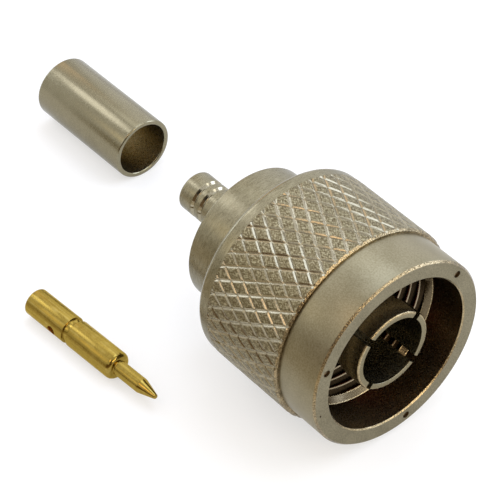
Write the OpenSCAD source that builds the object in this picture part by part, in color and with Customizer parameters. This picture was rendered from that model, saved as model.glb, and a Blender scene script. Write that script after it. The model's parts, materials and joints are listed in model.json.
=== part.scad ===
// Crimp coaxial plug, laid out as a kit: plug with coupling nut, crimp ferrule and centre contact.
// The plug axis is X, mating end towards +X, and +Z is up.
// The origin is on the plug axis at the front end of the outer contact, which is the mating plane.
// Sizes are millimetres. The pieces lie on one surface, which is under the knurl of the nut.

/* [Outer contact] */
// Inside diameter of the outer contact
bore_d = 7.0; // [6.6:0.05:7.4]
// Wall of the spring fingers behind their tips
finger_wall = 0.46; // [0.4:0.02:0.6]
// How far the tips of the fingers stand out from the wall behind them
tip_rise = 0.19; // [0.05:0.01:0.3]
// Length of the raised tips
tip_len = 2.2; // [1.2:0.1:3]
// Bevel on the front edges of the tips
tip_bevel = 0.2; // [0.05:0.05:0.25]
// Number of slots between the spring fingers
slot_count = 4; // [4:1:6]
// Width of a slot
slot_w = 0.7; // [0.4:0.05:1]
// Length of a slot
slot_len = 5.6; // [4:0.1:7]
// Wall of the pressed-in base
base_wall = 0.7; // [0.5:0.05:1]
// Length of the pressed-in base
base_len = 4.6; // [3.6:0.1:6]

/* [Insulator] */
// Height of the shoulder that holds the insulator
insulator_lip = 0.5; // [0.3:0.05:0.8]
// Length of the insulator's nose in front of its shoulder
nose_len = 1.0; // [0.5:0.1:3.5]

/* [Coupling nut] */
// Diameter inside the thread's crests
thread_minor_d = 14.9; // [14.7:0.05:15.2]
// Depth of the thread
thread_depth = 0.48; // [0.3:0.01:0.6]
// Room between the mating thread and the plain counterbore, on the radius
counterbore_clear = 0.07; // [0.05:0.01:0.3]
// Depth of the plain counterbore
counterbore_len = 4.0; // [3:0.1:5]
// Length of the thread, with its lead-in
thread_len = 6.2; // [5:0.1:8]
// Length of the relief behind the thread
relief_len = 1.0; // [0.6:0.1:2]
// Thickness of the rear wall that turns on the body
nut_wall_len = 4.6; // [4:0.1:6]
// Wall from the counterbore to the top of the knurl
rim_wall = 2.19; // [1.6:0.01:3]
// How far the nut's face stands in front of the mating plane
nut_lead = 0.6; // [0.2:0.1:1.2]
// Length of the plain front band
band_len = 4.68; // [3:0.02:5.2]
// Step from the front band up to the knurl
band_step = 0.42; // [0.3:0.02:0.6]
// Angle of that step to the axis
step_angle = 78; // [45:1:85]
// Bevel round the outer edge of the nut's face
face_bevel = 0.2; // [0.05:0.05:0.4]
// Bevel at the mouth of the counterbore
mouth_bevel = 0.12; // [0.05:0.01:0.3]
// Length of the plain rear band
rear_band_len = 1.5; // [1:0.1:2.5]
// Step from the tops of the knurl down to the rear band
rear_band_step = 0.06; // [0.02:0.01:0.1]
// Rounding of the nut's rear edge
rear_round = 0.6; // [0.2:0.05:0.95]

/* [Knurl] */
// Number of grooves in each direction
knurl_starts = 44; // [30:1:48]
// Angle of the grooves to the axis
knurl_angle = 30; // [25:1:40]
// Depth of the grooves
knurl_depth = 0.1; // [0.08:0.01:0.3]
// Width of the grooves
knurl_groove = 0.32; // [0.16:0.02:0.4]
// Distance from the rear end of the knurl to the first crossing of its grooves
knurl_lead = 0.47; // [0.1:0.01:1]
// Turn of the knurl about the plug axis
knurl_turn = 2.2; // [0:0.1:10]

/* [Lockwire holes] */
// Number of lockwire holes in the nut's face
lockwire_count = 3; // [2:1:6]
// Diameter of a lockwire hole
lockwire_d = 0.72; // [0.5:0.02:0.9]
// Depth of a lockwire hole to where its drill point starts
lockwire_len = 0.3; // [0.2:0.05:3.5]
// Turn of the first lockwire hole about the plug axis
lockwire_turn = 40; // [0:1:120]

/* [Plug body] */
// Wall of the sleeve that the nut turns on
sleeve_wall = 1.3; // [1.2:0.05:1.6]
// Running clearance between the sleeve and the nut, on the radius
nut_clear = 0.05; // [0.02:0.01:0.1]
// How far the sleeve stands in front of the nut's rear wall
sleeve_reach = 1.2; // [0.4:0.1:2]
// How far the rear shell stands out from the sleeve
shell_lip = 1.1; // [0.8:0.02:1.6]
// Length of the rear shell
shell_len = 4.95; // [3.5:0.05:7]
// Rounding of the shell's rear edge
shell_round = 0.2; // [0.1:0.05:0.8]
// Gap between the nut and the rear shell
shell_gap = 0.15; // [0.1:0.01:0.3]
// Length of the crimp stem
stem_len = 7.8; // [6.5:0.1:12]
// Wall of the crimp stem
stem_wall = 0.42; // [0.36:0.02:0.9]
// Rounding of the stem's end
stem_round = 0.2; // [0.1:0.05:0.35]
// Number of grooves in the crimp stem
groove_count = 2; // [1:1:5]
// Spacing of the grooves
groove_pitch = 1.08; // [0.8:0.02:1.2]
// Width of a groove
groove_w = 0.4; // [0.2:0.02:0.5]
// Depth of a groove
groove_depth = 0.18; // [0.1:0.01:0.25]
// Distance from the end of the stem to the first groove
groove_start = 2.06; // [1.2:0.02:3]

/* [Retaining ring and gasket] */
// Width of the retaining ring
ring_w = 0.8; // [0.6:0.05:1.2]
// How deep the ring sits in the body
ring_sink = 0.66; // [0.5:0.02:0.7]
// How far the ring stands out of the body into the nut
ring_rise = 0.5; // [0.3:0.02:0.8]
// Gap between the ends of the split ring
ring_split = 1.4; // [0.8:0.1:3]
// Clearance of the ring in the body's groove
ring_seat_clear = 0.04; // [0.02:0.01:0.1]
// Clearance of the ring in the nut's groove
ring_nut_clear = 0.15; // [0.1:0.01:0.2]
// Thickness of the gasket
gasket_t = 1.4; // [1:0.1:2]

/* [Centre contact] */
// Diameter of the contact's barrel
contact_d = 2.84; // [2.6:0.02:3.1]
// Length of the contact over all
contact_len = 17.4; // [16.5:0.1:19]
// Diameter of the mating pin
pin_d = 1.52; // [1.4:0.02:1.68]
// Length of the mating pin, from its shoulder to its tip
pin_len = 5.2; // [4.6:0.1:6]
// Length of the pin's cone
cone_len = 2.0; // [1.2:0.1:2.6]
// Radius of the pin's blunt tip
tip_r = 0.22; // [0.1:0.02:0.3]
// Length of the bevel on the shoulder
shoulder_len = 0.5; // [0.2:0.05:0.9]
// Drop of the bevel on the shoulder
shoulder_drop = 0.36; // [0.1:0.02:0.4]
// Rounding of the rear end of the barrel
barrel_round = 0.15; // [0.1:0.05:0.4]
// Distance from the tip to the snap groove
snap_at = 11.4; // [10.5:0.1:12]
// Width of the snap groove
snap_w = 0.6; // [0.5:0.05:0.8]
// Depth of the snap groove
snap_depth = 0.2; // [0.1:0.02:0.24]
// Diameter of the crimp bore for the cable's conductor
crimp_bore_d = 1.0; // [0.8:0.05:1.4]
// Depth of the crimp bore
crimp_bore_len = 4.6; // [4.4:0.1:5]
// Diameter of the inspection hole
inspection_d = 0.9; // [0.6:0.05:1]
// Distance from the rear end to the inspection hole
inspection_at = 3.9; // [2.5:0.1:4]
// Turn of the inspection hole about the contact's axis
inspection_turn = 188; // [0:1:360]

/* [Crimp ferrule] */
// Wall of the ferrule
ferrule_wall = 0.52; // [0.36:0.02:0.8]
// Length of the ferrule
ferrule_len = 13.4; // [10:0.1:18]
// Rounding of the ferrule's edges
ferrule_round = 0.1; // [0.05:0.01:0.17]

/* [Fits] */
// Clearance of pressed and seated pieces, on the radius
seat_clear = 0.02; // [0.01:0.01:0.05]
// Clearance of the centre contact in the insulator, on the radius
contact_clear = 0.03; // [0.02:0.01:0.08]
// Room to feed the centre contact through the crimp stem, on the radius
feed_clear = 0.2; // [0.16:0.01:0.4]
// Room for braid and jacket between the stem and the ferrule, on the radius
braid_room = 0.76; // [0.5:0.02:1]

/* [Layout] */
// Space between the end of the stem and the ferrule
ferrule_gap = 14.4; // [6:0.1:25]
// Sideways place of the ferrule's front end
ferrule_side = 4.6; // [0:0.1:8]
// Turn of the ferrule on the surface
ferrule_turn = 0.65; // [-10:0.05:10]
// Space from the side of the knurl to the axis of the centre contact, at its tip
contact_gap = 4.5; // [3.5:0.1:12]
// Distance of the contact's tip behind the mating plane
contact_back = 15.7; // [0:0.1:20]
// Turn of the centre contact on the surface
contact_turn = 3.5; // [-4:0.05:8]

/* [Hidden] */
$fn = 96;
NICKEL = [0.60, 0.57, 0.48];
SPRING = [0.66, 0.63, 0.55];
PTFE = [0.92, 0.91, 0.87];
STEEL = [0.55, 0.55, 0.56];
RUBBER = [0.60, 0.20, 0.14];
GOLD = [0.78, 0.62, 0.22];
// Overshoot that lets a cut run clear of a face
cut = 0.1;
// Depth of the knurl's solid metal below the front band
knurl_sink = 0.4;

// Coupling nut, from the thread outwards and from the face backwards
thread_r = thread_minor_d / 2;
counterbore_r = thread_r + thread_depth + counterbore_clear;
nut_r = counterbore_r + rim_wall;
band_r = nut_r - band_step;
knurl_root_r = nut_r - knurl_depth;
rear_band_r = nut_r - rear_band_step;
face_x = nut_lead;
counterbore_x = face_x - counterbore_len;
lead_in_x = counterbore_x - (counterbore_r - thread_r);
relief_x = counterbore_x - thread_len;
nut_wall_x = relief_x - relief_len;
nut_rear_x = nut_wall_x - nut_wall_len;
band_x = face_x - band_len;
knurl_rear_x = nut_rear_x + rear_band_len;
floor_z = -nut_r;

// Outer contact, insulator and body, from the inside out
bore_r = bore_d / 2;
finger_r = bore_r + finger_wall;
insulator_r = bore_r + insulator_lip;
base_r = insulator_r + base_wall;
sleeve_r = base_r + sleeve_wall;
nut_bore_r = sleeve_r + nut_clear;
shell_r = sleeve_r + shell_lip;

// Stations of the body, which follow the nut
body_front_x = nut_wall_x + sleeve_reach;
lip_x = body_front_x - base_wall;
base_rear_x = body_front_x - base_len;
shell_front_x = nut_rear_x - shell_gap;
shell_rear_x = shell_front_x - shell_len;
stem_end_x = shell_rear_x - stem_len;

// Retaining ring, in the middle of the nut's rear wall
ring_x = (nut_wall_x + nut_rear_x) / 2;
ring_in_r = sleeve_r - ring_sink;
ring_out_r = sleeve_r + ring_rise;

// Centre contact, and what takes its size from it
contact_r = contact_d / 2;
pin_r = pin_d / 2;
cable_bore_r = contact_r + feed_clear;
stem_r = cable_bore_r + stem_wall;
ferrule_in_r = stem_r + braid_room;
ferrule_out_r = ferrule_in_r + ferrule_wall;

// Knurl: length from one row of crossings to the next, where the rows start, how many there are,
// and the share of a diamond that its top takes up
knurl_row = PI * nut_r / knurl_starts / tan(knurl_angle);
knurl_start_x = knurl_rear_x + knurl_lead - knurl_row;
knurl_rows = ceil((band_x - knurl_start_x) / knurl_row);
pad_share = 1 - knurl_groove / (2 * knurl_row * sin(knurl_angle));

// Points of a round edge, with its middle at [x, r]
function arc(x, r, size, from, to, steps = 5) =
    [for (i = [0 : steps]) let (a = from + (to - from) * i / steps) [x + size * cos(a), r + size * sin(a)]];

// A solid turned about X, from points that are [place along X, radius]
module turned(points) {
    rotate([0, 90, 0])
        rotate_extrude()
            polygon([for (p = points) [p[1], p[0]]]);
}

// A tube about X
module tube(x0, x1, r_in, r_out) {
    turned([[x0, r_in], [x0, r_out], [x1, r_out], [x1, r_in]]);
}

// A point of the knurl, from its row, its place round the nut in half pitches, and its radius
function knurl_point(row, place, r) =
    let (a = knurl_turn + place * 180 / knurl_starts)
    [knurl_start_x + row * knurl_row, r * cos(a), r * sin(a)];

// Points of one diamond: the crossing beside it, then the left, right, front and rear points of its top
function diamond_points(row, i) =
    let (place = 2 * i + row % 2 + 1)
    [
        knurl_point(row, place - 1, knurl_root_r),
        knurl_point(row, place - pad_share, nut_r),
        knurl_point(row, place + pad_share, nut_r),
        knurl_point(min(row + pad_share, knurl_rows), place, nut_r),
        knurl_point(max(row - pad_share, 0), place, nut_r)
    ];

// Place in the list of points of a diamond's crossing, or of another of its points
function knurl_index(row, i, k = 0) = 5 * (row * knurl_starts + i % knurl_starts) + k;

// Faces of one diamond: its top, and the groove flanks in front of it and behind it
function diamond_faces(row, i) =
    let (
        left = knurl_index(row, i, 1),
        right = knurl_index(row, i, 2),
        front = knurl_index(row, i, 3),
        rear = knurl_index(row, i, 4),
        left_root = knurl_index(row, i),
        right_root = knurl_index(row, i + 1),
        front_root = knurl_index(row + 1, i + row % 2),
        rear_root = knurl_index(row - 1, i + row % 2)
    )
    concat(
        [[left, front, rear], [front, right, rear]],
        row == knurl_rows ? [] : [
            [left_root, front_root, front],
            [left_root, front, left],
            [front_root, right_root, right],
            [front_root, right, front]
        ],
        row == 0 ? [] : [
            [right_root, rear_root, rear],
            [right_root, rear, right],
            [rear_root, left_root, left],
            [rear_root, left, rear]
        ]
    );

// A round bar with two sets of helical grooves, which leave rows of flat-topped diamonds
module knurled_bar() {
    last = knurl_starts - 1;
    rear_end = [for (i = [0 : last], k = [0, 1, 4, 2]) knurl_index(0, i, k)];
    front_end = [for (i = [last : -1 : 0], k = [2, 3, 1, 0]) knurl_index(knurl_rows, i, k)];
    polyhedron(
        points = [for (row = [0 : knurl_rows], i = [0 : last]) each diamond_points(row, i)],
        faces = concat(
            [for (row = [0 : knurl_rows], i = [0 : last]) each diamond_faces(row, i)],
            [rear_end, front_end]
        )
    );
}

// The knurl as it is left when the front band and its step are turned
module knurl() {
    core_r = band_r - knurl_sink;
    step_slope = tan(step_angle);
    intersection() {
        knurled_bar();
        turned([
            [knurl_rear_x, core_r],
            [knurl_rear_x, nut_r + cut],
            [band_x - (band_step + cut) / step_slope, nut_r + cut],
            [band_x + knurl_sink / step_slope, core_r]
        ]);
    }
}

module lockwire_holes() {
    hole_r = lockwire_d / 2;
    floor_x = face_x - lockwire_len;
    for (i = [0 : lockwire_count - 1])
        rotate([lockwire_turn + i * 360 / lockwire_count, 0, 0])
            translate([0, (counterbore_r + band_r) / 2, 0])
                turned([
                    [face_x + cut, 0],
                    [face_x + cut, hole_r],
                    [floor_x, hole_r],
                    [floor_x - hole_r / 2, 0]
                ]);
}

module coupling_nut() {
    groove_half = ring_w / 2 + ring_nut_clear;
    groove_r = ring_out_r + ring_nut_clear;
    color(NICKEL) difference() {
        union() {
            turned(concat(
                [
                    [face_x, counterbore_r + mouth_bevel],
                    [face_x, band_r - face_bevel],
                    [face_x - face_bevel, band_r],
                    [band_x, band_r],
                    [band_x, band_r - knurl_sink / 2],
                    [knurl_rear_x, band_r - knurl_sink / 2],
                    [knurl_rear_x, rear_band_r]
                ],
                arc(nut_rear_x + rear_round, rear_band_r - rear_round, rear_round, 90, 180),
                [
                    [nut_rear_x, nut_bore_r],
                    [ring_x - groove_half, nut_bore_r],
                    [ring_x - groove_half, groove_r],
                    [ring_x + groove_half, groove_r],
                    [ring_x + groove_half, nut_bore_r],
                    [nut_wall_x, nut_bore_r],
                    [nut_wall_x, counterbore_r],
                    [relief_x, counterbore_r],
                    [relief_x, thread_r],
                    [lead_in_x, thread_r],
                    [counterbore_x, counterbore_r],
                    [face_x - mouth_bevel, counterbore_r]
                ]
            ));
            knurl();
        }
        lockwire_holes();
    }
}

// Grooves round the crimp stem, which grip the cable's braid
module stem_grooves() {
    for (i = [0 : groove_count - 1]) {
        x = stem_end_x + groove_start + i * groove_pitch;
        turned([
            [x - groove_w / 2, stem_r + cut],
            [x - groove_w / 2, stem_r],
            [x, stem_r - groove_depth],
            [x + groove_w / 2, stem_r],
            [x + groove_w / 2, stem_r + cut]
        ]);
    }
}

module plug_body() {
    groove_half = ring_w / 2 + ring_seat_clear;
    groove_r = ring_in_r - ring_seat_clear;
    socket_r = base_r + seat_clear;
    color(NICKEL) difference() {
        turned(concat(
            [
                [body_front_x, socket_r],
                [body_front_x, sleeve_r],
                [ring_x + groove_half, sleeve_r],
                [ring_x + groove_half, groove_r],
                [ring_x - groove_half, groove_r],
                [ring_x - groove_half, sleeve_r],
                [shell_front_x, sleeve_r],
                [shell_front_x, shell_r]
            ],
            arc(shell_rear_x + shell_round, shell_r - shell_round, shell_round, 90, 180),
            [[shell_rear_x, stem_r]],
            arc(stem_end_x + stem_round, stem_r - stem_round, stem_round, 90, 180),
            [
                [stem_end_x, cable_bore_r],
                [base_rear_x, cable_bore_r],
                [base_rear_x, socket_r]
            ]
        ));
        stem_grooves();
    }
}

// Slots that part the front of the outer contact into spring fingers
module finger_slots() {
    reach = finger_r + tip_rise + cut;
    for (i = [0 : slot_count - 1])
        rotate([(i + 0.5) * 360 / slot_count, 0, 0])
            translate([-slot_len, 0, -slot_w / 2])
                cube([slot_len + cut, reach, slot_w]);
}

module outer_contact() {
    tip_top = finger_r + tip_rise;
    color(SPRING) difference() {
        turned([
            [0, bore_r],
            [0, tip_top - tip_bevel],
            [-tip_bevel, tip_top],
            [-tip_len, tip_top],
            [-tip_len - tip_rise, finger_r],
            [body_front_x, finger_r],
            [body_front_x, base_r],
            [base_rear_x, base_r],
            [base_rear_x, insulator_r],
            [lip_x, insulator_r],
            [lip_x, bore_r]
        ]);
        finger_slots();
    }
}

module insulator() {
    hole_r = contact_r + contact_clear;
    nose_r = bore_r - seat_clear;
    color(PTFE) turned([
        [base_rear_x, hole_r],
        [base_rear_x, insulator_r - seat_clear],
        [lip_x, insulator_r - seat_clear],
        [lip_x, nose_r],
        [lip_x + nose_len, nose_r],
        [lip_x + nose_len, hole_r]
    ]);
}

module retaining_ring() {
    color(STEEL) difference() {
        tube(ring_x - ring_w / 2, ring_x + ring_w / 2, ring_in_r, ring_out_r);
        translate([ring_x - ring_w, -ring_split / 2, 0])
            cube([2 * ring_w, ring_split, ring_out_r + cut]);
    }
}

module gasket() {
    color(RUBBER)
        tube(body_front_x, body_front_x + gasket_t, finger_r + seat_clear, sleeve_r);
}

module crimp_ferrule() {
    low = ferrule_in_r + ferrule_round;
    high = ferrule_out_r - ferrule_round;
    rear = -ferrule_len + ferrule_round;
    color(NICKEL)
        translate([stem_end_x - ferrule_gap, ferrule_side, floor_z + ferrule_out_r])
            rotate([0, 0, ferrule_turn])
                turned(concat(
                    arc(-ferrule_round, low, ferrule_round, 270, 360),
                    arc(-ferrule_round, high, ferrule_round, 0, 90),
                    arc(rear, high, ferrule_round, 90, 180),
                    arc(rear, low, ferrule_round, 180, 270)
                ));
}

module centre_contact() {
    rear = -contact_len;
    snap_rear = -snap_at - snap_w;
    color(GOLD)
        translate([-contact_back, -nut_r - contact_gap, floor_z + contact_r])
            rotate([0, 0, contact_turn]) difference() {
                turned(concat(
                    arc(-tip_r, 0, tip_r, 0, 90),
                    [
                        [-cone_len, pin_r],
                        [-pin_len, pin_r],
                        [-pin_len, contact_r - shoulder_drop],
                        [-pin_len - shoulder_len, contact_r],
                        [-snap_at, contact_r],
                        [-snap_at, contact_r - snap_depth],
                        [snap_rear, contact_r - snap_depth],
                        [snap_rear, contact_r]
                    ],
                    arc(rear + barrel_round, contact_r - barrel_round, barrel_round, 90, 180),
                    [
                        [rear, crimp_bore_d / 2],
                        [rear + crimp_bore_len, crimp_bore_d / 2],
                        [rear + crimp_bore_len + crimp_bore_d / 4, 0]
                    ]
                ));
                rotate([inspection_turn, 0, 0])
                    translate([rear + inspection_at, 0, 0])
                        rotate([-90, 0, 0])
                            cylinder(h = contact_r + cut, r = inspection_d / 2);
            }
}

coupling_nut();
plug_body();
outer_contact();
insulator();
retaining_ring();
gasket();
crimp_ferrule();
centre_contact();
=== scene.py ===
import json
import math
import random

import bmesh
import bpy
from mathutils import Matrix, Vector

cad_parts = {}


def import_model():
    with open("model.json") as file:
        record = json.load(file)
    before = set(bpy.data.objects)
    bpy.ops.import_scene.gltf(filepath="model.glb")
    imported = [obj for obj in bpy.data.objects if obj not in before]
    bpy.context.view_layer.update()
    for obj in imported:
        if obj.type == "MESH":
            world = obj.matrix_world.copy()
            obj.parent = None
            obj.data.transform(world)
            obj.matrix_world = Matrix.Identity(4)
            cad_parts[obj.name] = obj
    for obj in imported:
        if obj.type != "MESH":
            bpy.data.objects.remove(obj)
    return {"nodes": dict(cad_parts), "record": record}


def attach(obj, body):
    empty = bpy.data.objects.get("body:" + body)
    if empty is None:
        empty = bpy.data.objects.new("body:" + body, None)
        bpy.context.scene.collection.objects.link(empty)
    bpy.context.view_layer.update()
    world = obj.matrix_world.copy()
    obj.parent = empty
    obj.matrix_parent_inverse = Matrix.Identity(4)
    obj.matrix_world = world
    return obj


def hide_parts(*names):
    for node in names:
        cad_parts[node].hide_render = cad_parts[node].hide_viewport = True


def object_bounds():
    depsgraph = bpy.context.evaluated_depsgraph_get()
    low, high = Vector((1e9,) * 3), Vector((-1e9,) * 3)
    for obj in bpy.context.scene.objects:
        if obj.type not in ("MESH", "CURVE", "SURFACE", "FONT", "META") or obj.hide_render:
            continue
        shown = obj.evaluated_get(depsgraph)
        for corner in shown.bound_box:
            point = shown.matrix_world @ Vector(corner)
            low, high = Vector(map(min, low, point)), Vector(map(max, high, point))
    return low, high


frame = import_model()
CAD_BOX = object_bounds()

# Lengths below are millimetres on the plug's own axes, and MM turns them into the frame's metres
MM = 0.001
TURN = 2 * math.pi

MOUNTS = {mount["name"]: mount for mount in frame["record"]["mounts"]}


# Meshes

def full_turn(count):
    """Angles of points evenly round an axis."""
    return [TURN * i / count for i in range(count)]


ROUND = full_turn(384)
THREAD_ROUND = full_turn(192)
SMALL_ROUND = full_turn(128)


class Skin:
    """Points and faces in millimetres, each face with the number of its material."""

    def __init__(self):
        self.points = []
        self.faces = []
        self.kinds = []

    def ring(self, x, radius, angles):
        """Points round the X axis. Where the radius is nothing, one point stands for them all."""
        first = len(self.points)
        if radius < 1e-9:
            self.points.append((x, 0.0, 0.0))
            return [first] * len(angles)
        self.points += [(x, radius * math.cos(a), radius * math.sin(a)) for a in angles]
        return list(range(first, len(self.points)))

    def face(self, corners, kind=0):
        """A face from the numbers of its points, unless repeats leave it less than three."""
        corners = list(dict.fromkeys(corners))
        if len(corners) > 2:
            self.faces.append(corners)
            self.kinds.append(kind)

    def strip(self, one, two, kind):
        """Quads between two closed rings with the same angles."""
        for i in range(len(one)):
            j = (i + 1) % len(one)
            self.face((one[i], one[j], two[j], two[i]), kind)

    def bridge(self, one, one_angles, two, two_angles, kind):
        """Triangles between two closed rings that have different angles, both in rising order."""
        i = j = 0
        while i < len(one) or j < len(two):
            next_one = one_angles[i + 1] if i + 1 < len(one) else one_angles[0] + TURN
            next_two = two_angles[j + 1] if j + 1 < len(two) else two_angles[0] + TURN
            a, b = one[i % len(one)], two[j % len(two)]
            if j == len(two) or (i < len(one) and next_one <= next_two):
                i += 1
                self.face((a, one[i % len(one)], b), kind)
            else:
                j += 1
                self.face((a, two[j % len(two)], b), kind)

    def lathe(self, profile, angles, kind=0, closed=True):
        """Turns a list of (x, radius) points round the X axis."""
        rings = [self.ring(x, radius, angles) for x, radius in profile]
        for one, two in zip(rings, rings[1:]):
            self.strip(one, two, kind)
        if closed:
            self.strip(rings[-1], rings[0], kind)
        return rings

    def turned(self, outline, kind_of):
        """Turns a closed outline, with the kind of each strip worked out from its two ends."""
        rings = [self.ring(x, radius, ROUND) for x, radius in outline]
        for i, here in enumerate(outline):
            self.strip(rings[i - 1], rings[i], kind_of(outline[i - 1], here))

    def raw_mesh(self, name, place=Matrix()):
        """The mesh in metres, as it was put together."""
        mesh = bpy.data.meshes.new(name)
        mesh.from_pydata([place @ (Vector(p) * MM) for p in self.points], [], self.faces)
        mesh.polygons.foreach_set("material_index", self.kinds)
        return mesh

    def mesh(self, name, place=Matrix()):
        """The finished mesh in metres, with smooth faces between its sharp edges."""
        mesh = self.raw_mesh(name, place)
        tidy(mesh)
        return mesh


WELD = 0.0002
SHARP_ANGLE = math.radians(32)

# Tolerances that tell one surface from the next
NEAR = 0.02
CLOSE = 0.01
FLUSH = 0.001


def tidy(mesh):
    """Welds a mesh, turns its faces outwards and marks its sharp edges."""
    bm = bmesh.new()
    bm.from_mesh(mesh)
    bmesh.ops.remove_doubles(bm, verts=bm.verts, dist=WELD * MM)
    bmesh.ops.recalc_face_normals(bm, faces=bm.faces)
    bm.to_mesh(mesh)
    bm.free()
    mesh.polygons.foreach_set("use_smooth", [True] * len(mesh.polygons))
    mesh.set_sharp_from_angle(angle=SHARP_ANGLE)


def rounded(corners, steps=4):
    """A closed outline of (x, radius) points from (x, radius, rounding) corners."""
    points = []
    for i, (x, r, size) in enumerate(corners):
        here = Vector((x, r))
        back = (Vector(corners[i - 1][:2]) - here).normalized()
        ahead = (Vector(corners[(i + 1) % len(corners)][:2]) - here).normalized()
        if size <= 0:
            points.append((x, r))
            continue
        half = back.angle(ahead) / 2
        middle = here + (back + ahead).normalized() * size / math.sin(half)
        start = here + back * size / math.tan(half) - middle
        sweep = start.angle_signed(here + ahead * size / math.tan(half) - middle)
        for step in range(steps + 1):
            arm = start.copy()
            arm.rotate(Matrix.Rotation(-sweep * step / steps, 2))
            points.append(tuple(middle + arm))
    return points


def show(mesh, node, body, materials):
    """Puts a mesh in the place of a CAD node."""
    piece = bpy.data.objects.new("look_" + node, mesh)
    bpy.context.scene.collection.objects.link(piece)
    for material in materials:
        mesh.materials.append(material)
    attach(piece, body)
    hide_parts(node)


# Materials

class Look:
    """A procedural material: a principled shader with noise on its colour, roughness and relief."""

    def __init__(self, name, metallic=1.0):
        self.material = bpy.data.materials.new(name)
        self.material.use_nodes = True
        self.nodes = self.material.node_tree.nodes
        self.links = self.material.node_tree.links
        self.shader = self.nodes["Principled BSDF"]
        self.shader.inputs["Metallic"].default_value = metallic
        self.place = self.nodes.new("ShaderNodeTexCoord")
        self.relief = None

    def scaled(self, x, y, z):
        """Object coordinates in millimetres, times a factor on each axis."""
        mapping = self.nodes.new("ShaderNodeMapping")
        mapping.inputs["Scale"].default_value = (x / MM, y / MM, z / MM)
        self.links.new(self.place.outputs["Object"], mapping.inputs["Vector"])
        return mapping.outputs["Vector"]

    def unrolled(self, radius, turn, stretch):
        """Millimetres on a cylinder rolled out flat, turned on the flat and shortened along one axis."""
        parts = self.nodes.new("ShaderNodeSeparateXYZ")
        angle = self.nodes.new("ShaderNodeMath")
        angle.operation = "ARCTAN2"
        flat = self.nodes.new("ShaderNodeCombineXYZ")
        self.links.new(self.place.outputs["Object"], parts.inputs["Vector"])
        self.links.new(parts.outputs["Z"], angle.inputs[0])
        self.links.new(parts.outputs["Y"], angle.inputs[1])
        self.links.new(parts.outputs["X"], flat.inputs["X"])
        self.links.new(angle.outputs["Value"], flat.inputs["Y"])
        mapping = self.nodes.new("ShaderNodeMapping")
        mapping.inputs["Scale"].default_value = (1 / MM, radius, 1)
        self.links.new(flat.outputs["Vector"], mapping.inputs["Vector"])
        turned = self.nodes.new("ShaderNodeMapping")
        turned.vector_type = "TEXTURE"
        turned.inputs["Rotation"].default_value = (0, 0, turn)
        turned.inputs["Scale"].default_value = (stretch, 1, 1)
        self.links.new(mapping.outputs["Vector"], turned.inputs["Vector"])
        return turned.outputs["Vector"]

    def noise(self, vector, scale, detail=3.0, rough=0.55):
        """Smooth noise round 0.5."""
        texture = self.nodes.new("ShaderNodeTexNoise")
        texture.inputs["Scale"].default_value = scale
        texture.inputs["Detail"].default_value = detail
        texture.inputs["Roughness"].default_value = rough
        self.links.new(vector, texture.inputs["Vector"])
        return texture.outputs["Fac"]

    def mixed(self, one, two, share):
        """Two values, with the share that the second one has."""
        mix = self.nodes.new("ShaderNodeMix")
        mix.inputs["Factor"].default_value = share
        self.links.new(one, mix.inputs["A"])
        self.links.new(two, mix.inputs["B"])
        return mix.outputs["Result"]

    def along(self, turn, stretch):
        """Millimetres, turned about Z and shortened along the turned X axis."""
        mapping = self.nodes.new("ShaderNodeMapping")
        mapping.vector_type = "TEXTURE"
        mapping.inputs["Rotation"].default_value = (0, 0, turn)
        mapping.inputs["Scale"].default_value = (MM * stretch, MM, MM)
        self.links.new(self.place.outputs["Object"], mapping.inputs["Vector"])
        return mapping.outputs["Vector"]

    def ramp(self, value, *stops):
        """Colours or grey levels along a value: each stop is (place, colour)."""
        ramp = self.nodes.new("ShaderNodeValToRGB")
        elements = ramp.color_ramp.elements
        while len(elements) < len(stops):
            elements.new(0.5)
        for element, (at, colour) in zip(elements, stops):
            element.position = at
            element.color = (*colour, 1.0)
        self.links.new(value, ramp.inputs["Fac"])
        return ramp.outputs["Color"]

    def range(self, value, low, high, start=0.3, end=0.7):
        """A value spread from low to high, where it goes from start to end."""
        spread = self.nodes.new("ShaderNodeMapRange")
        spread.inputs["From Min"].default_value = start
        spread.inputs["From Max"].default_value = end
        spread.inputs["To Min"].default_value = low
        spread.inputs["To Max"].default_value = high
        self.links.new(value, spread.inputs["Value"])
        return spread.outputs["Result"]

    def colour(self, output):
        self.links.new(output, self.shader.inputs["Base Color"])

    def skimming(self, tint):
        """The tint of metal that is seen along its surface."""
        self.shader.inputs["Specular Tint"].default_value = (*tint, 1.0)

    def roughness(self, output):
        self.links.new(output, self.shader.inputs["Roughness"])

    def bump(self, height, depth):
        """Adds relief of a depth in millimetres on top of what is there."""
        bump = self.nodes.new("ShaderNodeBump")
        bump.inputs["Strength"].default_value = 1.0
        bump.inputs["Distance"].default_value = depth * MM
        self.links.new(height, bump.inputs["Height"])
        if self.relief is not None:
            self.links.new(self.relief, bump.inputs["Normal"])
        self.relief = bump.outputs["Normal"]
        self.links.new(self.relief, self.shader.inputs["Normal"])


# Tints of plated metal that is seen along its surface
SKIMMING = (0.84, 0.85, 0.86)
# Painted shade: the nickel inside the nut, the contact and the ferrule takes a darker tint along its
# surface than the same nickel outside.
INSIDE_SKIMMING_PAINTED_SHADE = (0.52, 0.51, 0.47)
UNTINTED = (1.0, 1.0, 1.0)


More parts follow.
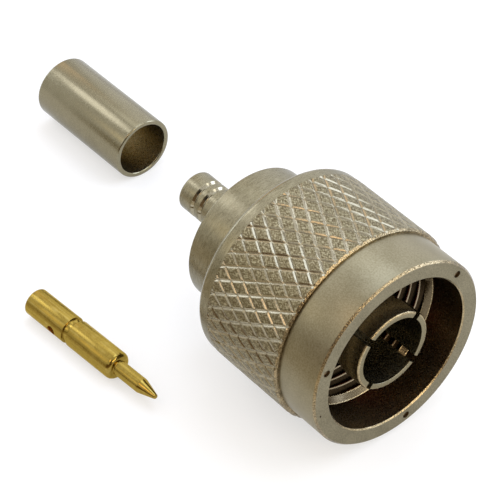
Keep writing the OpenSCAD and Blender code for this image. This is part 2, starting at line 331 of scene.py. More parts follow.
def plated(name, dark, light, rough, grain, lines=0.0, streaks=0.0, skimming=SKIMMING):
    """Plated metal: cloudy and grainy tone, fine relief, and turning lines round the X axis.

    Grain and lines are depths of the relief. Streaks is the share that short lines have in the tone.
    """
    look = Look(name)
    look.skimming(skimming)
    even = look.scaled(1, 1, 1)
    cloud = look.noise(even, scale=0.4, detail=1)
    speck = look.noise(even, scale=7, detail=3, rough=0.6)
    tone = look.mixed(cloud, speck, share=0.78)
    if streaks:
        turned = look.noise(look.scaled(1, 0.15, 0.15), scale=9, detail=3, rough=0.65)
        tone = look.mixed(tone, turned, streaks)
    look.colour(look.ramp(tone, (0.38, dark), (0.62, light)))
    look.roughness(look.range(speck, rough - 0.06, rough + 0.07))
    if lines:
        turning = look.noise(look.scaled(1, 0.02, 0.02), scale=14, detail=3, rough=0.7)
        look.bump(turning, lines)
    look.bump(look.noise(even, scale=5, detail=3, rough=0.65), grain)
    return look.material


NICKEL_DARK = (0.174, 0.150, 0.090)
NICKEL_LIGHT = (0.278, 0.248, 0.164)

nickel = plated(
    "satin_nickel", NICKEL_DARK, NICKEL_LIGHT,
    rough=0.30, grain=0.005, lines=0.004, streaks=0.62,
)
face = plated("face_nickel", (0.152, 0.131, 0.079), (0.262, 0.233, 0.153), rough=0.34, grain=0.008)
flanks = plated("groove_flanks", (0.26, 0.225, 0.15), (0.36, 0.32, 0.225), rough=0.17, grain=0.012)
# Painted highlight: the bevels and edges are a lighter copy of the nickel round them, which draws bright
# lines along them.
edges = plated("bright_edges_painted_highlight", (0.22, 0.17, 0.09), (0.46, 0.37, 0.22), rough=0.16, grain=0.05)
rims = plated("dark_rims", (0.10, 0.077, 0.042), (0.42, 0.335, 0.20), rough=0.16, grain=0.06)
band = plated(
    "smooth_nickel", (0.208, 0.179, 0.108), (0.282, 0.250, 0.163),
    rough=0.38, grain=0.003, lines=0.002, skimming=UNTINTED,
)
rear_edge = plated(
    "rear_edge", NICKEL_DARK, NICKEL_LIGHT,
    rough=0.20, grain=0.004, lines=0.002, skimming=UNTINTED,
)
# Painted shade: the lead-in is a darker copy of the nickel, with a dark tint along it, for the shade at
# the back of the counterbore.
lead_in_painted_shade = plated(
    "lead_in_painted_shade", (0.105, 0.08, 0.047), (0.16, 0.129, 0.08),
    rough=0.24, grain=0.006, skimming=(0.20, 0.17, 0.115),
)
inside = plated(
    "counterbore_nickel", (0.232, 0.179, 0.114), (0.266, 0.209, 0.137),
    rough=0.28, grain=0.003, lines=0.003, skimming=INSIDE_SKIMMING_PAINTED_SHADE,
)
# Painted highlight: the thread's crests and their lips are a lighter copy of the nickel, which draws the
# thread's thin light lines.
crests_painted_highlight = plated(
    "thread_crests_painted_highlight", (0.28, 0.225, 0.145), (0.38, 0.315, 0.215),
    rough=0.24, grain=0.006, lines=0.003, skimming=INSIDE_SKIMMING_PAINTED_SHADE,
)
# Painted shade: the thread's flanks are a near-black copy of the nickel, with a near-black tint along
# them, for the shade deep in the nut.
thread_sides_painted_shade = plated(
    "thread_sides_painted_shade", (0.020, 0.013, 0.007), (0.040, 0.028, 0.015),
    rough=0.22, grain=0.004, lines=0.003, skimming=(0.05, 0.03, 0.02),
)
# Painted light: the ferrule's bore and the outsides of the contact's fingers are a lighter, browner copy
# of the nickel, for the light that reaches in there.
bore = plated(
    "ferrule_bore", (0.41, 0.345, 0.215), (0.47, 0.405, 0.265),
    rough=0.28, grain=0.004, lines=0.003, skimming=INSIDE_SKIMMING_PAINTED_SHADE,
)
spring = plated(
    "spring_nickel", (0.20, 0.172, 0.11), (0.27, 0.24, 0.16),
    rough=0.26, grain=0.005, lines=0.003, skimming=INSIDE_SKIMMING_PAINTED_SHADE,
)
tube = plated(
    "ferrule_nickel", (0.198, 0.174, 0.108), (0.254, 0.224, 0.146),
    rough=0.24, grain=0.003, lines=0.001, streaks=0.4,
)
rim_nickel = plated("ferrule_rim", (0.205, 0.183, 0.118), (0.275, 0.248, 0.168), rough=0.13, grain=0.002)
# Painted highlight: the stem's grooves are a lighter copy of the nickel, so that their glints come out
# white.
grooves = plated("stem_grooves", (0.30, 0.265, 0.18), (0.40, 0.365, 0.27), rough=0.13, grain=0.003)
steel = plated(
    "spring_steel", (0.30, 0.30, 0.31), (0.42, 0.42, 0.43),
    rough=0.32, grain=0.004, lines=0.004,
)


GOLD_DARK = (0.258, 0.174, 0.032)
GOLD = (0.306, 0.213, 0.043)
GOLD_LIGHT = (0.40, 0.297, 0.085)
GOLD_SKIMMING = (1.0, 0.88, 0.55)


def gilded(name, turn, smooth, rough):
    """Gold plate with fine streaks along the axis of the contact."""
    look = Look(name)
    look.skimming(GOLD_SKIMMING)
    streak = look.noise(look.along(turn, stretch=80), scale=9, detail=3, rough=0.6)
    cloud = look.noise(look.scaled(1, 1, 1), scale=1.5, detail=3)
    tone = look.mixed(cloud, streak, share=0.65)
    look.colour(look.ramp(tone, (0.36, GOLD_DARK), (0.53, GOLD), (0.66, GOLD_LIGHT)))
    look.roughness(look.range(cloud, smooth, rough))
    look.bump(streak, depth=0.002)
    return look.material


def hole_gold_painted_glow():
    """The wall of the inspection hole, painted a bright orange for the glow that the gold round it
    throws back.
    """
    look = Look("hole_gold_painted_glow")
    shade = look.noise(look.scaled(1, 1, 1), scale=4)
    look.colour(look.ramp(shade, (0.3, (0.62, 0.30, 0.06)), (0.7, (0.80, 0.43, 0.11))))
    look.shader.inputs["Roughness"].default_value = 0.4
    return look.material


def soft(name, dark, light, rough, grain):
    """Turned plastic or moulded rubber."""
    look = Look(name, metallic=0.0)
    even = look.scaled(1, 1, 1)
    look.colour(look.ramp(look.noise(even, scale=0.8), (0.3, dark), (0.7, light)))
    look.roughness(look.range(look.noise(even, scale=7), rough - 0.08, rough + 0.08))
    look.bump(look.noise(look.scaled(1, 0.05, 0.05), scale=9, detail=2), grain)
    return look.material


ptfe = soft("white_insulator", (0.74, 0.72, 0.66), (0.84, 0.82, 0.77), rough=0.5, grain=0.012)
rubber = soft("red_rubber", (0.24, 0.035, 0.02), (0.34, 0.055, 0.03), rough=0.62, grain=0.010)


# Sizes that the pieces share. They are those of the solids, apart from touches that only show here, such
# as the turns of the thread, worn edges, and the knurl's uneven tops and wider and deeper grooves.

THREAD_R = 7.45
THREAD_DEPTH = 0.48
THREAD_PITCH = 25.4 / 24
COUNTERBORE_R = 8.0
NUT_R = 10.19
BAND_R = 9.77
REAR_BAND_R = 10.13
REAR_ROUND = 0.6
FACE_X = 0.6
COUNTERBORE_X = -3.4
LEAD_IN_X = -3.95
LEAD_EDGE = 0.06
RELIEF_X = -9.6
RELIEF_RUN = 0.15
NUT_WALL_X = -10.6
NUT_REAR_X = -15.2
BAND_X = -4.08
STEP_FOOT = 0.22
STEP_LEAN = 0.02
KNURL_REAR_X = -13.7
NUT_BORE_R = 6.05
FACE_BEVEL = 0.2
BAND_EDGE_LEN = 0.05
BAND_EDGE_DROP = 0.02
MOUTH_BEVEL = 0.12

KNURL_STARTS = 44
KNURL_ANGLE = math.radians(30)
KNURL_DEPTH = 0.11
KNURL_GROOVE = 0.36
KNURL_LEAD = 0.47
KNURL_TURN = math.radians(2.2)
KNURL_SEED = 7
KNURL_WELD = 0.0005
PAD_TILT = 0.012
PAD_SINK = 0.006
KNURL_ROW = math.pi * NUT_R / KNURL_STARTS / math.tan(KNURL_ANGLE)

LOCKWIRE_TURNS = [math.radians(40 + 120 * i) for i in range(3)]
LOCKWIRE_AT = (COUNTERBORE_R + BAND_R) / 2
LOCKWIRE_R = 0.36
LOCKWIRE_DEEP = 0.3

RING_X = (NUT_WALL_X + NUT_REAR_X) / 2
RING_HALF = 0.4
RING_NUT_CLEAR = 0.15
RING_SEAT_CLEAR = 0.04
NUT_GROOVE_R = 6.65
NUT_GROOVE_HALF = RING_HALF + RING_NUT_CLEAR
BODY_GROOVE_R = 5.30
BODY_GROOVE_HALF = RING_HALF + RING_SEAT_CLEAR
BODY_FRONT_X = -9.4
LIP_X = -10.1
BASE_REAR_X = -14.0
SLEEVE_R = 6.0
SHELL_R = 7.1
SHELL_FRONT_X = -15.35
SHELL_REAR_X = -20.3
STEM_END_X = -28.1
STEM_R = 2.04
CABLE_BORE_R = 1.62
BORE_R = 3.5
FINGER_R = 3.96
TIP_R = 4.15
BASE_R = 4.7
INSULATOR_R = 4.0
CONTACT_R = 1.42
SEAT_CLEAR = 0.02


# Coupling nut

PAD_DARK = (0.100, 0.077, 0.041)
PAD_MIDDLE = (0.188, 0.158, 0.090)
PAD_LIGHT = (0.365, 0.328, 0.214)


def pad_look():
    """The tops of the knurl, pressed into fine dashes along both of its directions."""
    look = Look("knurl_tops")
    look.skimming(SKIMMING)
    dashes = [
        look.noise(look.unrolled(NUT_R, turn, stretch=2.6), scale=8, detail=2, rough=0.6)
        for turn in (KNURL_ANGLE, -KNURL_ANGLE)
    ]
    weave = look.nodes.new("ShaderNodeMath")
    weave.operation = "MULTIPLY"
    look.links.new(dashes[0], weave.inputs[0])
    look.links.new(dashes[1], weave.inputs[1])
    tone = weave.outputs["Value"]
    look.colour(look.ramp(tone, (0.16, PAD_DARK), (0.25, PAD_MIDDLE), (0.35, PAD_LIGHT)))
    look.roughness(look.range(look.noise(look.scaled(1, 1, 1), scale=5), low=0.30, high=0.46))
    look.bump(tone, depth=0.06)
    return look.material


def knurl_samples():
    """Places across one diamond, from groove to groove, closer together at the grooves."""
    edge = KNURL_GROOVE / (4 * KNURL_ROW * math.sin(KNURL_ANGLE))
    half = [0, 0.12 * edge, 0.5 * edge, 0.92 * edge, 1.12 * edge, 0.3]
    return edge, half + [0.5] + [1 - t for t in reversed(half)]


def groove(t, edge):
    """Depth of a groove, from 0 to 1, at a place across a diamond. Its upper edges are rounded."""
    away = min(t, 1 - t)
    softness = 0.05 * edge
    return softness / edge * math.log1p(math.exp((edge - away) / softness))


def knurl_grid():
    """The knurl rolled out flat as a bmesh: X along the axis, Y the angle, Z the radius."""
    edge, samples = knurl_samples()
    depths = [groove(t, edge) for t in samples]
    chance = random.Random(KNURL_SEED)
    bm = bmesh.new()
    start_x = KNURL_REAR_X + KNURL_LEAD - KNURL_ROW
    rows = math.ceil((BAND_X - start_x) / KNURL_ROW)
    count = len(samples)
    for row in range(-1, rows + 2):
        for i in range(KNURL_STARTS):
            tilt = [chance.uniform(-PAD_TILT, PAD_TILT) for _ in range(2)]
            lift = chance.uniform(-PAD_SINK, 0.0)
            corner_place = i + (row % 2) / 2
            grid = []
            for s, a in enumerate(samples):
                for t, b in enumerate(samples):
                    deep = max(depths[s], depths[t])
                    top = lift + tilt[0] * (a - 0.5) + tilt[1] * (b - 0.5)
                    level = min(0.0, top) * max(0.0, 1 - deep)
                    place = corner_place + (a + b) / 2
                    x = start_x + (row + a - b) * KNURL_ROW
                    angle = KNURL_TURN + place * TURN / KNURL_STARTS
                    grid.append(bm.verts.new((x, angle, NUT_R + level - KNURL_DEPTH * min(deep, 1.0))))
            for s in range(count - 1):
                for t in range(count - 1):
                    a = s * count + t
                    bm.faces.new((grid[a], grid[a + 1], grid[a + count + 1], grid[a + count]))
    bmesh.ops.remove_doubles(bm, verts=bm.verts, dist=KNURL_WELD)
    return bm


def cut_flat(bm, point, normal):
    """Cuts a flat grid by a plane and returns the points on the cut, in order of their angle."""
    geometry = bm.verts[:] + bm.edges[:] + bm.faces[:]
    cut = bmesh.ops.bisect_plane(
        bm, geom=geometry, dist=1e-6, plane_co=point, plane_no=normal, clear_outer=True,
    )
    on_cut = [v for v in cut["geom_cut"] if isinstance(v, bmesh.types.BMVert)]
    return sorted(on_cut, key=lambda v: v.co.y)


def once_round(cut, seam):
    """Drops the repeats of a cut line's points that lie a full turn apart."""
    return [v for v in cut if seam - 1e-5 <= v.co.y < seam + TURN - 1e-5]


# How far the crest, its worn lips and the flanks reach from the crest's middle, as shares of the pitch
CREST_HALF, LIP_HALF, ROOT_HALF = 0.06, 0.13, 0.45
THREAD_CORNERS = [
    0.5 - ROOT_HALF, 0.5 - LIP_HALF, 0.5 - CREST_HALF, 0.5 + CREST_HALF, 0.5 + LIP_HALF, 0.5 + ROOT_HALF,
]
# The thread runs out over this length at each end, where this share of its depth is left
RUN_OUT_LEN = 0.5
RUN_OUT_SHARE = 0.2


def thread_radius(x, angle):
    """Radius of the thread's surface, which runs out at both ends."""
    away = abs(((x / THREAD_PITCH) - angle / TURN) % 1.0 - 0.5)
    rise = min(1.0, max(0.0, (away - CREST_HALF) / (ROOT_HALF - CREST_HALF)))
    from_end = min(LEAD_IN_X - x, x - RELIEF_X)
    fade = min(1.0, from_end / RUN_OUT_LEN + RUN_OUT_SHARE)
    return THREAD_R + THREAD_DEPTH * rise * fade


def nut_thread(skin):
    """The thread as rows that follow its helix and stop at its two ends.

    Returns its front and rear rings.
    """
    corners = len(THREAD_CORNERS)
    first_turn = math.floor(RELIEF_X / THREAD_PITCH) - 2
    last_turn = math.ceil(LEAD_IN_X / THREAD_PITCH) + 1
    rows = []
    for turn in range(first_turn, last_turn + 1):
        for corner in THREAD_CORNERS:
            start = len(skin.points)
            for angle in THREAD_ROUND:
                x = THREAD_PITCH * (turn + corner + angle / TURN)
                x = min(LEAD_IN_X, max(RELIEF_X, x))
                r = thread_radius(x, angle)
                skin.points.append((x, r * math.cos(angle), r * math.sin(angle)))
            rows.append(list(range(start, len(skin.points))))
    for m in range(len(rows) - corners - 1):
        # The crest and its lips take the lighter crest nickel, a painted highlight, and the flanks the
        # near-black one, painted shade.
        kind = CREST if m % corners in (1, 2, 3) else THREAD_SIDE
        one = rows[m] + rows[m + corners][:1]
        two = rows[m + 1] + rows[m + 1 + corners][:1]
        for i in range(len(THREAD_ROUND)):
            skin.face((one[i], one[i + 1], two[i + 1], two[i]), kind)
    return rows[-1], rows[0]


# Kinds of surface on the nut, in the order of nut_looks
PLAIN, KNURLED, EDGE, INSIDE, FLANK, CREST, THREAD_SIDE, LEAD, RIM, BAND, REAR, FACE = range(12)
ARC_STEPS = 10


def nut_mesh():
    """The nut: the knurl first, and then the turned surfaces from its front round to its rear."""
    skin = Skin()
    flat = knurl_grid()
    rear_cut = cut_flat(flat, (KNURL_REAR_X, 0, 0), (-1, 0, 0))
    step_top = (BAND_X - STEP_LEAN, BAND_R + STEP_FOOT)
    front_cut = cut_flat(flat, (step_top[0], 0, step_top[1]), (1, 0, 1))
    numbers = {}
    for v in flat.verts:
        numbers[v] = len(skin.points)
        skin.points.append((v.co.x, v.co.z * math.cos(v.co.y), v.co.z * math.sin(v.co.y)))
    for f in flat.faces:
        low = min(v.co.z for v in f.verts)
        skin.face([numbers[v] for v in f.verts], FLANK if low < NUT_R - KNURL_DEPTH / 2 else KNURLED)

    # Plain band, face edge, counterbore and rear wall, in order from the knurl round to the knurl
    front_band = [
        (BAND_X, BAND_R), (FACE_X - FACE_BEVEL - BAND_EDGE_LEN, BAND_R),
        (FACE_X - FACE_BEVEL, BAND_R - BAND_EDGE_DROP),
    ]
    bands = skin.lathe(front_band, ROUND, BAND, closed=False)
    knurl_front = skin.ring(*step_top, ROUND)
    skin.strip(knurl_front, bands[0], RIM)
    face_edge = skin.ring(FACE_X, BAND_R - FACE_BEVEL, ROUND)
    skin.strip(bands[-1], face_edge, RIM)
    face_mouth = skin.ring(FACE_X, COUNTERBORE_R + MOUTH_BEVEL, ROUND)
    mouth = skin.ring(FACE_X - MOUTH_BEVEL, COUNTERBORE_R, ROUND)
    skin.strip(face_mouth, mouth, EDGE)
    step = skin.ring(COUNTERBORE_X, COUNTERBORE_R, ROUND)
    skin.strip(mouth, step, INSIDE)
    thread_front, thread_rear = nut_thread(skin)
    lead_front = skin.ring(COUNTERBORE_X - LEAD_EDGE, COUNTERBORE_R - LEAD_EDGE, ROUND)
    lead_rear = skin.ring(LEAD_IN_X + LEAD_EDGE, THREAD_R + LEAD_EDGE, ROUND)
    skin.strip(step, lead_front, EDGE)
    skin.strip(lead_front, lead_rear, LEAD)
    skin.bridge(lead_rear, ROUND, thread_front, THREAD_ROUND, EDGE)
    inner = skin.lathe([
        (RELIEF_X - RELIEF_RUN, COUNTERBORE_R), (NUT_WALL_X, COUNTERBORE_R), (NUT_WALL_X, NUT_BORE_R),
        (RING_X + NUT_GROOVE_HALF, NUT_BORE_R), (RING_X + NUT_GROOVE_HALF, NUT_GROOVE_R),
        (RING_X - NUT_GROOVE_HALF, NUT_GROOVE_R), (RING_X - NUT_GROOVE_HALF, NUT_BORE_R),
        (NUT_REAR_X, NUT_BORE_R),
    ], ROUND, INSIDE, closed=False)
    skin.bridge(thread_rear, THREAD_ROUND, inner[0], ROUND, INSIDE)
    middle = (NUT_REAR_X + REAR_ROUND, REAR_BAND_R - REAR_ROUND)
    arc = [math.radians(180 - 90 * i / ARC_STEPS) for i in range(ARC_STEPS + 1)]
    outer = skin.lathe([
        (middle[0] + REAR_ROUND * math.cos(a), middle[1] + REAR_ROUND * math.sin(a)) for a in arc
    ], ROUND, REAR, closed=False)
    skin.strip(inner[-1], outer[0], FACE)
    knurl_rear = skin.ring(KNURL_REAR_X, REAR_BAND_R, ROUND)
    skin.strip(outer[-1], knurl_rear, PLAIN)

    # The ends of the knurl run down to the bands
    for cut, ring, kind in ((front_cut, knurl_front, RIM), (rear_cut, knurl_rear, EDGE)):
        cut = [v for v in cut if v.is_valid]
        line = once_round(cut, min(v.co.y for v in cut))
        turned = sorted((v.co.y % TURN, numbers[v]) for v in line)
        skin.bridge([n for _, n in turned], [a for a, _ in turned], ring, ROUND, kind)
    flat.free()
    mesh = skin.raw_mesh("nut")
    nut_face(mesh, face_edge, face_mouth)
    tidy(mesh)
    return mesh


NICK_TURN = math.radians(-168)
NICK_AT = 9.16
NICK_HALF_OUT = 0.07
NICK_HALF_ROUND = 0.16
NICK_DEEP = 0.08
HOLE_SIDES = 32


def nut_face(mesh, outer, inner):
    """Fills the nut's face between its two edges, round the lockwire holes and a small nick."""
    bm = bmesh.new()
    bm.from_mesh(mesh)
    bm.verts.ensure_lookup_table()
    loops = [[bm.verts[i] for i in ring] for ring in (outer, inner)]
    holes = [(turn, LOCKWIRE_AT, LOCKWIRE_R, LOCKWIRE_R, LOCKWIRE_DEEP) for turn in LOCKWIRE_TURNS]
    holes.append((NICK_TURN, NICK_AT, NICK_HALF_OUT, NICK_HALF_ROUND, NICK_DEEP))
    for turn, at, half_out, half_round, deep in holes:
        rim, bottom = [], []
        point_x = FACE_X - deep - half_out / 2
        point = bm.verts.new(Vector((point_x, at * math.cos(turn), at * math.sin(turn))) * MM)
        for a in full_turn(HOLE_SIDES):
            out = at + half_out * math.cos(a)
            side = half_round * math.sin(a)
            y = out * math.cos(turn) - side * math.sin(turn)
            z = out * math.sin(turn) + side * math.cos(turn)
            rim.append(bm.verts.new(Vector((FACE_X, y, z)) * MM))
            bottom.append(bm.verts.new(Vector((FACE_X - deep, y, z)) * MM))
        for i in range(HOLE_SIDES):
            j = (i + 1) % HOLE_SIDES
            wall = bm.faces.new((rim[i], rim[j], bottom[j], bottom[i]))
            cone = bm.faces.new((bottom[i], bottom[j], point))
            wall.material_index = cone.material_index = INSIDE
        loops.append(rim)
    borders = [bm.edges.get((loop[i - 1], loop[i])) for loop in loops for i in range(len(loop))]
    filled = bmesh.ops.triangle_fill(
        bm, use_beauty=True, use_dissolve=False, edges=borders, normal=(1, 0, 0),
    )
    for item in filled["geom"]:
        if isinstance(item, bmesh.types.BMFace):
            item.material_index = FACE
    bm.to_mesh(mesh)
    bm.free()


# Body, contacts and the pieces inside

def stem_grooves():
    """Corners of the grooves round the crimp stem, from the front to the rear."""
    count, pitch, start = 2, 1.08, 2.06
    half, deep, edge = 0.26, 0.21, 0.04
    corners = []
    for i in reversed(range(count)):
        x = STEM_END_X + start + i * pitch
        corners += [(x + half, STEM_R, edge), (x, STEM_R - deep, edge), (x - half, STEM_R, edge)]
    return corners


BODY_SIDE, STEM_GROOVE, BODY_END = range(3)
STEM_PLAIN = 1.0


def body_kind(before, here):
    """The kind of a strip of the body: in a groove of the stem, on a flat end, or on a side."""
    on_stem = STEM_END_X + STEM_PLAIN < here[0] < SHELL_REAR_X - STEM_PLAIN and here[1] > CABLE_BORE_R
    if on_stem and min(before[1], here[1]) < STEM_R - NEAR:
        return STEM_GROOVE
    return BODY_END if abs(here[0] - before[0]) < FLUSH else BODY_SIDE


def body_mesh():
    """The sleeve in the nut, the rear shell and the grooved stem, with the bores inside them."""
    socket = BASE_R + SEAT_CLEAR
    outline = rounded([
        (BODY_FRONT_X, socket, 0.05), (BODY_FRONT_X, SLEEVE_R, 0.15),
        (RING_X + BODY_GROOVE_HALF, SLEEVE_R, 0), (RING_X + BODY_GROOVE_HALF, BODY_GROOVE_R, 0),
        (RING_X - BODY_GROOVE_HALF, BODY_GROOVE_R, 0), (RING_X - BODY_GROOVE_HALF, SLEEVE_R, 0),
        (SHELL_FRONT_X, SLEEVE_R, 0), (SHELL_FRONT_X, SHELL_R, 0.12),
        (SHELL_REAR_X, SHELL_R, 0.2), (SHELL_REAR_X, STEM_R, 0.08),
        *stem_grooves(),
        (STEM_END_X, STEM_R, 0.2), (STEM_END_X, CABLE_BORE_R, 0.08),
        (BASE_REAR_X, CABLE_BORE_R, 0), (BASE_REAR_X, socket, 0),
    ], steps=6)
    skin = Skin()
    skin.turned(outline, body_kind)
    return skin.mesh("body")


FINGER_PLAIN, FINGER_TIP, FINGER_SIDE = range(3)
SLOT_HALF = 0.35
SLOT_X = -5.6
FINGERS = 4
FINGER_STEPS = 40
TIP_X = -2.2
TIP_RAMP = 0.19
TIP_ROUND = 0.2


def finger_kind(one, two):
    """The kind of a strip of a finger, between two points of its section."""
    if all(x > -TIP_ROUND and r > TIP_R - TIP_ROUND for x, r in (one, two)):
        return FINGER_TIP
    return FINGER_SIDE if min(one[1], two[1]) > FINGER_R - CLOSE else FINGER_PLAIN


def contact_mesh():
    """The outer contact: a ring at the rear, and spring fingers between parallel slots."""
    skin = Skin()
    section = rounded([
        (SLOT_X, BORE_R, 0), (SLOT_X, FINGER_R, 0), (TIP_X - TIP_RAMP, FINGER_R, 0.1),
        (TIP_X, TIP_R, 0.1), (0, TIP_R, TIP_ROUND), (0, BORE_R, 0.06),
    ])
    for finger in range(FINGERS):
        middle = finger * TURN / FINGERS
        rows = []
        for step in range(FINGER_STEPS + 1):
            share = 2 * step / FINGER_STEPS - 1
            row = []
            for x, r in section:
                a = middle + share * (TURN / FINGERS / 2 - math.asin(SLOT_HALF / r))
                row.append(len(skin.points))
                skin.points.append((x, r * math.cos(a), r * math.sin(a)))
            rows.append(row)
        for one, two in zip(rows, rows[1:]):
            for i in range(len(section)):
                j = (i + 1) % len(section)
                kind = finger_kind(section[i], section[j])
                skin.face((one[i], one[j], two[j], two[i]), kind)
        skin.face(rows[0])
        skin.face(rows[-1])
    skin.lathe([
        (SLOT_X, BORE_R), (SLOT_X, FINGER_R), (BODY_FRONT_X, FINGER_R), (BODY_FRONT_X, BASE_R),
        (BASE_REAR_X, BASE_R), (BASE_REAR_X, INSULATOR_R), (LIP_X, INSULATOR_R), (LIP_X, BORE_R),
    ], ROUND)
    return skin.mesh("outer_contact")


def insulator_mesh():
    """A bush with a hole for the contact and a nose in front of the lip."""
    contact_clear, nose_len = 0.03, 1.0
    hole = CONTACT_R + contact_clear
    nose = BORE_R - SEAT_CLEAR
    nose_x = LIP_X + nose_len
    skin = Skin()
    skin.lathe(rounded([
        (BASE_REAR_X, hole, 0), (BASE_REAR_X, INSULATOR_R - SEAT_CLEAR, 0.1),
        (LIP_X, INSULATOR_R - SEAT_CLEAR, 0.1), (LIP_X, nose, 0.1),
        (nose_x, nose, 0.15), (nose_x, hole, 0.15),
    ]), SMALL_ROUND)
    return skin.mesh("insulator")


def gasket_mesh():
    """A soft ring in front of the body, round the foot of the outer contact."""
    thick = 1.4
    inner, front = FINGER_R + SEAT_CLEAR, BODY_FRONT_X + thick
    skin = Skin()
    skin.lathe(rounded([
        (BODY_FRONT_X, inner, 0.2), (BODY_FRONT_X, SLEEVE_R, 0.3),
        (front, SLEEVE_R, 0.4), (front, inner, 0.3),
    ], steps=5), ROUND)
    return skin.mesh("gasket")


def laid(mount, length):
    """Place of a loose piece whose rear end is at a mount, with its front end as its own origin."""
    backwards = Vector(mount["axis"])
    front = Vector(mount["pos_m"]) - backwards * length * MM
    return Matrix.Translation(front) @ Matrix.Rotation(math.atan2(-backwards.y, -backwards.x), 4, "Z")


TUBE_SIDE, TUBE_BORE, TUBE_RIM = range(3)


def ferrule_mesh():
    """The crimp ferrule, a plain tube with rounded rims."""
    inner, outer, length, edge = 2.8, 3.32, 13.4, 0.17

    def kind_of(before, here):
        xs = before[0], here[0]
        if min(xs) > -edge - CLOSE or max(xs) < edge - length + CLOSE:
            return TUBE_RIM
        return TUBE_BORE if max(before[1], here[1]) < inner + edge / 2 else TUBE_SIDE

    skin = Skin()
    outline = rounded([
        (0, inner, edge), (0, outer, edge), (-length, outer, edge), (-length, inner, edge),
    ], steps=6)
    skin.turned(outline, kind_of)
    return skin.mesh("ferrule", laid(MOUNTS["ferrule_bore"], length))


PIN_BRUSHED, PIN_HOLE, PIN_POLISHED = range(3)


def pin_mesh():
    """The centre contact, with its inspection hole cut through to the crimp bore."""
    length, pin, tip = 17.4, 0.76, 0.22
    cone, shoulder, shoulder_r = 2.0, 5.2, 0.48
    snap, snap_w, snap_deep = 11.4, 0.6, 0.2
    bore, bore_len = 0.5, 4.6
    hole_r, hole_at, hole_turn = 0.5, 13.5, math.radians(188)
    drill_len, wall_from = 2.0, 0.4
    skin = Skin()
    outline = rounded([
        (0, 0, 0), (0, tip, 0.12), (-cone, pin, 0.5),
        (-shoulder, pin, 0.08), (-shoulder, CONTACT_R, shoulder_r),
        (-snap, CONTACT_R, 0.16), (-snap, CONTACT_R - snap_deep, 0.02),
        (-snap - snap_w, CONTACT_R - snap_deep, 0.04), (-snap - snap_w, CONTACT_R, 0.05),
        (-length, CONTACT_R, 0.15), (-length, bore, 0.06), (-length + bore_len, bore, 0),
        (-length + bore_len + bore / 2, 0, 0),
    ])
    skin.lathe(outline, SMALL_ROUND, closed=False)
    solid = bpy.data.objects.new("pin_solid", skin.mesh("pin"))
    drill = Skin()
    drill.lathe([
        (0, 0), (0, hole_r), (drill_len, hole_r), (drill_len, 0),
    ], SMALL_ROUND[::2], closed=False)
    hole = bpy.data.objects.new("pin_drill", drill.mesh("drill"))
    hole.matrix_world = (
        Matrix.Translation(Vector((-hole_at, 0, 0)) * MM)
        @ Matrix.Rotation(hole_turn, 4, "X")
        @ Matrix.Rotation(math.radians(90), 4, "Z")
    )
    for item in (solid, hole):
        bpy.context.scene.collection.objects.link(item)
    cut = solid.modifiers.new("inspection_hole", "BOOLEAN")
    cut.object = hole
    cut.operation = "DIFFERENCE"
    cut.solver = "EXACT"
    bpy.context.view_layer.update()
    drilled = solid.evaluated_get(bpy.context.evaluated_depsgraph_get())
    mesh = bpy.data.meshes.new_from_object(drilled)
    to_hole = hole.matrix_world.inverted()
    polished = [(0, cone), (shoulder, shoulder + shoulder_r), (snap, snap + snap_w)]
    for polygon in mesh.polygons:
        at = (to_hole @ polygon.center) / MM
        back = -polygon.center.x / MM
        if at.x > wall_from and at.yz.length < hole_r + CLOSE:
            polygon.material_index = PIN_HOLE
        elif any(start - NEAR < back < end + NEAR for start, end in polished):
            polygon.material_index = PIN_POLISHED
        else:
            polygon.material_index = PIN_BRUSHED
    for item in (solid, hole):
        bpy.data.objects.remove(item)
    mesh.transform(laid(MOUNTS["contact_crimp_bore"], length))
    tidy(mesh)
    return mesh


nut_looks = [
    nickel, pad_look(), edges, inside, flanks, crests_painted_highlight,
    thread_sides_painted_shade, lead_in_painted_shade, rims, band, rear_edge, face,
]
show(nut_mesh(), "coupling_nut", "nut", nut_looks)
show(body_mesh(), "plug_body", "plug", [nickel, grooves, face])
# The fingers' outsides take the ferrule bore's lighter copy of the nickel, as painted light.
show(contact_mesh(), "outer_contact", "plug", [spring, edges, bore])
show(insulator_mesh(), "insulator", "plug", [ptfe])
show(gasket_mesh(), "gasket", "plug", [rubber])
show(ferrule_mesh(), "crimp_ferrule", "plug", [tube, bore, rim_nickel])
pin_axis = MOUNTS["contact_pin"]["axis"]
pin_turn = math.atan2(pin_axis[1], pin_axis[0])
gold = gilded("gold_plate", pin_turn, smooth=0.24, rough=0.31)
bright_gold = gilded("bright_gold", pin_turn, smooth=0.14, rough=0.18)
show(pin_mesh(), "centre_contact", "plug", [gold, hole_gold_painted_glow(), bright_gold])

ring_node = frame["nodes"]["retaining_ring"]
ring_node.data.materials.clear()
ring_node.data.materials.append(steel)


# Floor, light and camera

FLOOR_Z = CAD_BOX[0][2]


def seen_directly(nodes, wires):
    """One for what the camera sees, also in or through a surface, and nothing for light on matt ones."""
    rays = nodes.new("ShaderNodeLightPath")
    seen = rays.outputs["Is Camera Ray"]
    for kind in ("Is Glossy Ray", "Is Transmission Ray"):
        either = nodes.new("ShaderNodeMath")
        either.operation = "MAXIMUM"
        wires.new(seen, either.inputs[0])
        wires.new(rays.outputs[kind], either.inputs[1])
        seen = either.outputs["Value"]
    return seen


